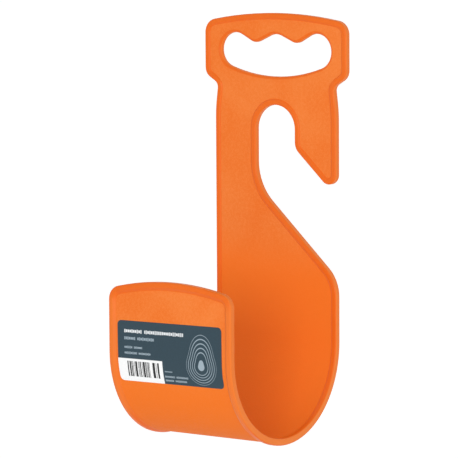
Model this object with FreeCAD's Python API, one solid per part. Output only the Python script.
import FreeCAD, Part

import math
import os

from FreeCAD import Vector

# Hose hanger: one moulded J of orange plastic with a hand grip on top, a hook slot below the
# grip and a deep cradle for the coiled hose, and one adhesive label on the cradle's front lip.
# Millimetres, +Z up. The origin is the centre of the round seat at the top of the hook slot,
# halfway through the back plate. The front lip is towards -Y and the slot opens to the +X side.

# Strip that the whole hanger is bent from
strip_width = 101.0
rim_thickness = 5.0        # over both faces, along every outer edge
rim_width = 3.4            # flat of the rim, from the outer edge
edge_break = 0.7           # outer corners of the rim, at 45 degrees
recess_inside = 0.65       # panel below the rim, on the hollow side of the J
slope_inside = 0.65        # width of the step from the rim down to that panel
recess_outside = 1.4       # the same on the outer side
slope_outside = 2.0
panel_corner = 0.8         # tightest corner of the panel's floor

# Hook slot and its slanted throat
seat_radius = 16.3
nose_drop = 12.8           # seat centre down to where the throat's upper edge leaves the slot
nose_corner = 9.5
throat_slope = 43.0        # both edges of the throat, degrees below level
throat_width = 41.3        # square across, between the two slanted edges
tip_corner = 6.5           # lowest point of the hook
elbow_corner = 37.0        # slot wall into the throat's lower edge
hip_corner = 26.0          # throat's lower edge into the strip's side

# Cradle
hip_run = 30.6             # straight side of the strip between the hip and the bend
cradle_radius = 62.5       # outside of the bend
lip_height = 49.0          # bend's centre up to the top of the lip
lip_crown_radius = 195.0
lip_corner = 9.5

# Grip
grip_overhang = 8.7        # beyond the strip, on each side
grip_height = 78.9         # seat centre up to the top of the arch
grip_crown_radius = 290.0
grip_corner = 9.5
shoulder_height = 36.4     # seat centre up to the shoulder's corner
shoulder_corner = 8.0
shoulder_slope = 31.5      # degrees below level
neck_inset = 2.1           # inside the strip's side
neck_corner = 5.0
flare_drop = 23.6          # shoulder's corner down to where the neck meets the strip's side
flare_corner = 100.0

# Finger hole: three finger lobes above, one shallow arc below
grip_bar = 13.7            # top of the arch down to the tops of the end lobes
grip_side = 13.4           # beside each end of the hole
end_radius = 11.9
lobe_radius = 12.0         # middle lobe
middle_drop = 0.8          # tops of the end lobes down to the top of the middle lobe
flank_slope = 23.9         # degrees below level, from the middle lobe down to a knuckle
knuckle_radius = 8.0       # the points between the lobes
belly_sag = 5.8            # the lower arc, below the end lobes
hole_round = 2.0           # edge on the hollow side, eased for the fingers

# Label, stuck on a little crooked
label_height = 40.6
label_corner = 3.0
label_thickness = 0.2
label_drop = 27.2          # top of the lip down to the label
label_gap_left = 1.5       # from the panel's sides
label_gap_right = 2.8
label_tilt = -0.6          # degrees

# What counts as touching, and how many times the size of its cut a cutting tool is
touching = 1e-6
overrun = 2

# Worked out from the sizes above
half_width = strip_width / 2
half_rim = rim_thickness / 2
panel_front = recess_inside - half_rim
panel_back = half_rim - recess_outside
panel_edge = rim_width + slope_outside
throat_grade = math.tan(math.radians(throat_slope))
throat_rise = throat_width / math.cos(math.radians(throat_slope))
tip_z = -nose_drop - (half_width - seat_radius) * throat_grade
elbow_z = -nose_drop + 2 * seat_radius * throat_grade - throat_rise
hip_z = tip_z - throat_rise
hip_reach = hip_corner * math.tan(math.radians(90 - throat_slope) / 2)
bend_z = hip_z - hip_reach - hip_run
bend_y = half_rim - cradle_radius
lip_top = bend_z + lip_height
grip_half = half_width + grip_overhang
blank_end = bend_z - overrun * (panel_edge + panel_corner)      # cut off at the bend later


def at(x, z):
    """Point in the plane halfway through the back plate."""
    return Vector(x, 0, z)


def arc(start, through, end):
    return Part.Arc(start, through, end).toShape()


def rounded_path(corners, closed=False):
    """Edges along (x, z, radius) corners: straight runs joined by tangent arcs."""
    points = [at(x, z) for x, z, _ in corners]
    count = len(points)
    runs = []
    edges = []
    for i, (_, _, radius) in enumerate(corners):
        if radius == 0:
            runs.append((points[i], points[i]))
            continue
        back = (points[i - 1] - points[i]).normalize()
        ahead = (points[(i + 1) % count] - points[i]).normalize()
        half_angle = back.getAngle(ahead) / 2
        reach = radius / math.tan(half_angle)
        depth = radius / math.sin(half_angle) - radius
        start = points[i] + back * reach
        end = points[i] + ahead * reach
        edges.append(arc(start, points[i] + (back + ahead).normalize() * depth, end))
        runs.append((start, end))
    for i in range(count if closed else count - 1):
        edges.append(Part.makeLine(runs[i][1], runs[(i + 1) % count][0]))
    return edges


def arched_top(half, top, crown_radius, corner):
    """Crown with a rounded corner at each side, and the height at which it meets the sides."""
    corner_x = half - corner
    crown = at(0, top - crown_radius)
    corner_z = crown.z + math.sqrt((crown_radius - corner) ** 2 - corner_x ** 2)
    edges = []
    ends = []
    for side in (1, -1):
        centre = at(side * corner_x, corner_z)
        outward = (centre - crown).normalize()
        level = at(side, 0)
        meets_crown = centre + outward * corner
        middle = centre + (outward + level).normalize() * corner
        edges.append(arc(centre + level * corner, middle, meets_crown))
        ends.append(meets_crown)
    edges.append(arc(ends[0], at(0, top), ends[1]))
    return edges, corner_z


def face_of(edges):
    return Part.Face(Part.Wire(Part.sortEdges(edges)[0]))


def plate_outline():
    """Back plate: grip, neck, hook slot with its throat, and the strip past the bend."""
    arch, arch_end = arched_top(grip_half, grip_height, grip_crown_radius, grip_corner)
    neck_half = half_width - neck_inset
    fall = (grip_half - neck_half) * math.tan(math.radians(shoulder_slope))
    flank = [
        (grip_half, arch_end, 0),
        (grip_half, shoulder_height, shoulder_corner),
        (neck_half, shoulder_height - fall, neck_corner),
        (half_width, shoulder_height - flare_drop, flare_corner),
    ]
    hook = [
        (half_width, tip_z, tip_corner),
        (seat_radius, -nose_drop, nose_corner),
        (seat_radius, 0, 0),
    ]
    throat = [
        (-seat_radius, 0, 0),
        (-seat_radius, elbow_z, elbow_corner),
        (half_width, hip_z, hip_corner),
        (half_width, blank_end, 0),
        (-half_width, blank_end, 0),
    ]
    far_flank = [(-x, z, radius) for x, z, radius in reversed(flank)]
    seat = arc(at(seat_radius, 0), at(0, seat_radius), at(-seat_radius, 0))
    return face_of(arch + rounded_path(flank + hook) + [seat] + rounded_path(throat + far_flank))


def lip_outline():
    """Front lip: arched top, straight sides, and down past the bend."""
    arch, arch_end = arched_top(half_width, lip_top, lip_crown_radius, lip_corner)
    sides = [
        (half_width, arch_end, 0),
        (half_width, blank_end, 0),
        (-half_width, blank_end, 0),
        (-half_width, arch_end, 0),
    ]
    return face_of(arch + rounded_path(sides))


def finger_flank(lobe, radius, knuckle):
    """Where the straight flank between a lobe and a knuckle leaves the one and meets the other."""
    along = knuckle - lobe
    cosine = (radius + knuckle_radius) / along.Length
    along.normalize()
    upward = Vector(-along.z, 0, along.x) * math.copysign(1, along.x)
    normal = along * cosine + upward * math.sqrt(1 - cosine ** 2)
    return lobe + normal * radius, knuckle - normal * knuckle_radius


def finger_hole_outline():
    """Three lobes over one shallow arc, with a rounded knuckle between each two lobes."""
    pitch = grip_half - grip_side - end_radius
    lobe_top = grip_height - grip_bar
    end = at(pitch, lobe_top - end_radius)
    middle = at(0, lobe_top - middle_drop - lobe_radius)
    slant = math.radians(flank_slope)
    reach = lobe_radius + knuckle_radius
    fall = (pitch / 2 - reach * math.sin(slant)) * math.tan(slant)
    knuckle = at(pitch / 2, middle.z + reach * math.cos(slant) - fall)
    belly = end_radius + belly_sag
    belly_foot = at(0, end.z - belly)
    belly_radius = (pitch ** 2 + belly ** 2 - end_radius ** 2) / (2 * belly_sag)
    outward = (end - belly_foot - at(0, belly_radius)).normalize()
    belly_end = end + outward * end_radius
    middle_top, inner_foot = finger_flank(middle, lobe_radius, knuckle)
    end_top, outer_foot = finger_flank(end, end_radius, knuckle)
    half = [
        Part.makeLine(middle_top, inner_foot),
        arc(inner_foot, knuckle - at(0, knuckle_radius), outer_foot),
        Part.makeLine(outer_foot, end_top),
        arc(end_top, end + at(end_radius, 0), belly_end),
    ]
    other_half = [edge.mirror(Vector(), Vector(1, 0, 0)) for edge in half]
    across = [
        arc(middle_top, middle + at(0, lobe_radius), at(-middle_top.x, middle_top.z)),
        arc(belly_end, belly_foot, at(-belly_end.x, belly_end.z)),
    ]
    return face_of(half + other_half + across)


def slab(outline, thickness):
    """Plate of the given outline, half of its thickness on each side of the outline's plane."""
    plate = outline.extrude(Vector(0, thickness, 0))
    plate.translate(Vector(0, -thickness / 2, 0))
    return plate


def edges_at(shape, y):
    """Edges that lie wholly in the plane at y."""
    return [
        edge for edge in shape.Edges
        if all(abs(vertex.Y - y) < touching for vertex in edge.Vertexes)
    ]


def panel_pocket(outline, floor_y, depth, slope):
    """Tool that sinks the panel on one face; its sloped sides reach the rim's crest and go on."""
    inset = rim_width + slope + panel_corner
    floor = outline.makeOffset2D(-inset).makeOffset2D(panel_corner)
    mouth = floor.makeOffset2D(overrun * slope)
    tool = mouth.extrude(Vector(0, math.copysign((overrun + 1) * depth, floor_y), 0))
    tool.translate(Vector(0, floor_y, 0))
    return tool.makeChamfer(overrun * depth, overrun * slope, edges_at(tool, floor_y))


def raised_ring(opening, floor_y, depth, slope):
    """Block that a pocket leaves standing round an opening: a rim with a sloped outer side."""
    foot = opening.makeOffset2D(rim_width + slope)
    block = foot.extrude(Vector(0, math.copysign((overrun + 1) * depth, floor_y), 0))
    block.translate(Vector(0, floor_y - math.copysign(depth, floor_y), 0))
    crown_y = floor_y + math.copysign(overrun * depth, floor_y)
    return block.makeChamfer(overrun * depth, overrun * slope, edges_at(block, crown_y))


def recessed_plate(outline, opening=None):
    """Flat blank with broken edges and a thin panel inside a rim on both faces.

    An opening gets a rim of its own on the outer face, and a plain edge on the hollow side.
    """
    blank = slab(outline, rim_thickness)
    rims = edges_at(blank, half_rim) + edges_at(blank, -half_rim)
    blank = blank.makeChamfer(edge_break, rims)
    inside = panel_pocket(outline, panel_front, recess_inside, slope_inside)
    outside = panel_pocket(outline, panel_back, recess_outside, slope_outside)
    if opening is None:
        return blank.cut([inside, outside])
    outside = outside.cut(raised_ring(opening, panel_back, recess_outside, slope_outside))
    return blank.cut([inside, outside, slab(opening, overrun * rim_thickness)])


def trimmed_at_bend(blank):
    """What stands above the height of the bend's centre."""
    box = blank.BoundBox
    size = max(box.XLength, box.YLength, box.ZLength) * overrun
    keep = Part.makeBox(size, size, size, Vector(-size / 2, -size / 2, bend_z))
    return blank.common(keep)


def back_plate():
    """Grip, neck and hook, with the finger hole's edges eased on both faces."""
    opening = finger_hole_outline()
    plate = recessed_plate(plate_outline(), opening)
    hole = slab(opening, overrun * rim_thickness)
    front, back = [
        [edge for edge in edges_at(plate, y) if edge.distToShape(hole)[0] < touching]
        for y in (panel_front, half_rim)
    ]
    plate = plate.makeChamfer(edge_break, back)
    round_over = min(hole_round, half_rim - panel_front - 2 * edge_break)
    return trimmed_at_bend(plate.makeFillet(round_over, front))


def front_lip():
    """The lip's blank, turned to face the back plate across the cradle."""
    lip = trimmed_at_bend(recessed_plate(lip_outline()))
    return lip.mirror(Vector(0, bend_y, 0), Vector(0, 1, 0))


def cradle_bend():
    """The strip's section turned half round the cradle's centre line."""
    crest = half_width - rim_width
    inner = cradle_radius - rim_thickness
    half = [
        (crest - slope_outside, cradle_radius - recess_outside),
        (crest, cradle_radius),
        (half_width - edge_break, cradle_radius),
        (half_width, cradle_radius - edge_break),
        (half_width, inner + edge_break),
        (half_width - edge_break, inner),
        (crest, inner),
        (crest - slope_inside, inner + recess_inside),
    ]
    corners = [at(x, r) for x, r in half] + [at(-x, r) for x, r in reversed(half)]
    section = Part.Face(Part.makePolygon(corners + corners[:1]))
    section.rotate(Vector(), Vector(1, 0, 0), -90)
    axis_point = Vector(0, bend_y, bend_z)
    section.translate(axis_point)
    return section.revolve(axis_point, Vector(1, 0, 0), -180)


def hanger():
    """The whole moulding as one solid."""
    return back_plate().fuse([cradle_bend(), front_lip()]).removeSplitter()


def label():
    """Film on the outer face of the lip's panel, following it down into the bend."""
    inner = cradle_radius - recess_outside
    outer = inner + label_thickness
    corner = Vector(-half_width, bend_y - outer, bend_z)
    axis_point = Vector(-half_width, bend_y, bend_z)
    along = Vector(1, 0, 0)
    flat = Part.makeBox(strip_width, label_thickness, lip_height, corner)
    tube = Part.makeCylinder(outer, strip_width, axis_point, along)
    tube = tube.cut(Part.makeCylinder(inner, strip_width, axis_point, along))
    quarter = Part.makeBox(strip_width, outer, outer, corner - Vector(0, 0, outer))
    film = flat.fuse(tube.common(quarter))
    left = -half_width + panel_edge + label_gap_left
    right = half_width - panel_edge - label_gap_right
    top = lip_top - label_drop
    bottom = top - label_height
    corners = [(left, top), (right, top), (right, bottom), (left, bottom)]
    outline = face_of(rounded_path([(x, z, label_corner) for x, z in corners], closed=True))
    outline.rotate(at((left + right) / 2, (top + bottom) / 2), Vector(0, 1, 0), label_tilt)
    stamp = outline.extrude(Vector(0, overrun * (bend_y - outer), 0))
    stamp.translate(Vector(0, bend_y, 0))
    return film.common(stamp).removeSplitter()


def save(name, shape):
    shape.exportStep(f"parts/{name}.step")
    box = shape.optimalBoundingBox(False)
    size = " x ".join(f"{length:.2f}" for length in (box.XLength, box.YLength, box.ZLength))
    volume = shape.Volume / 1000
    print(f"{name}: {len(shape.Solids)} solid, valid {shape.isValid()}, {size} mm, {volume:.2f} cm3")


os.makedirs("parts", exist_ok=True)
save("hanger", hanger())
save("label", label())
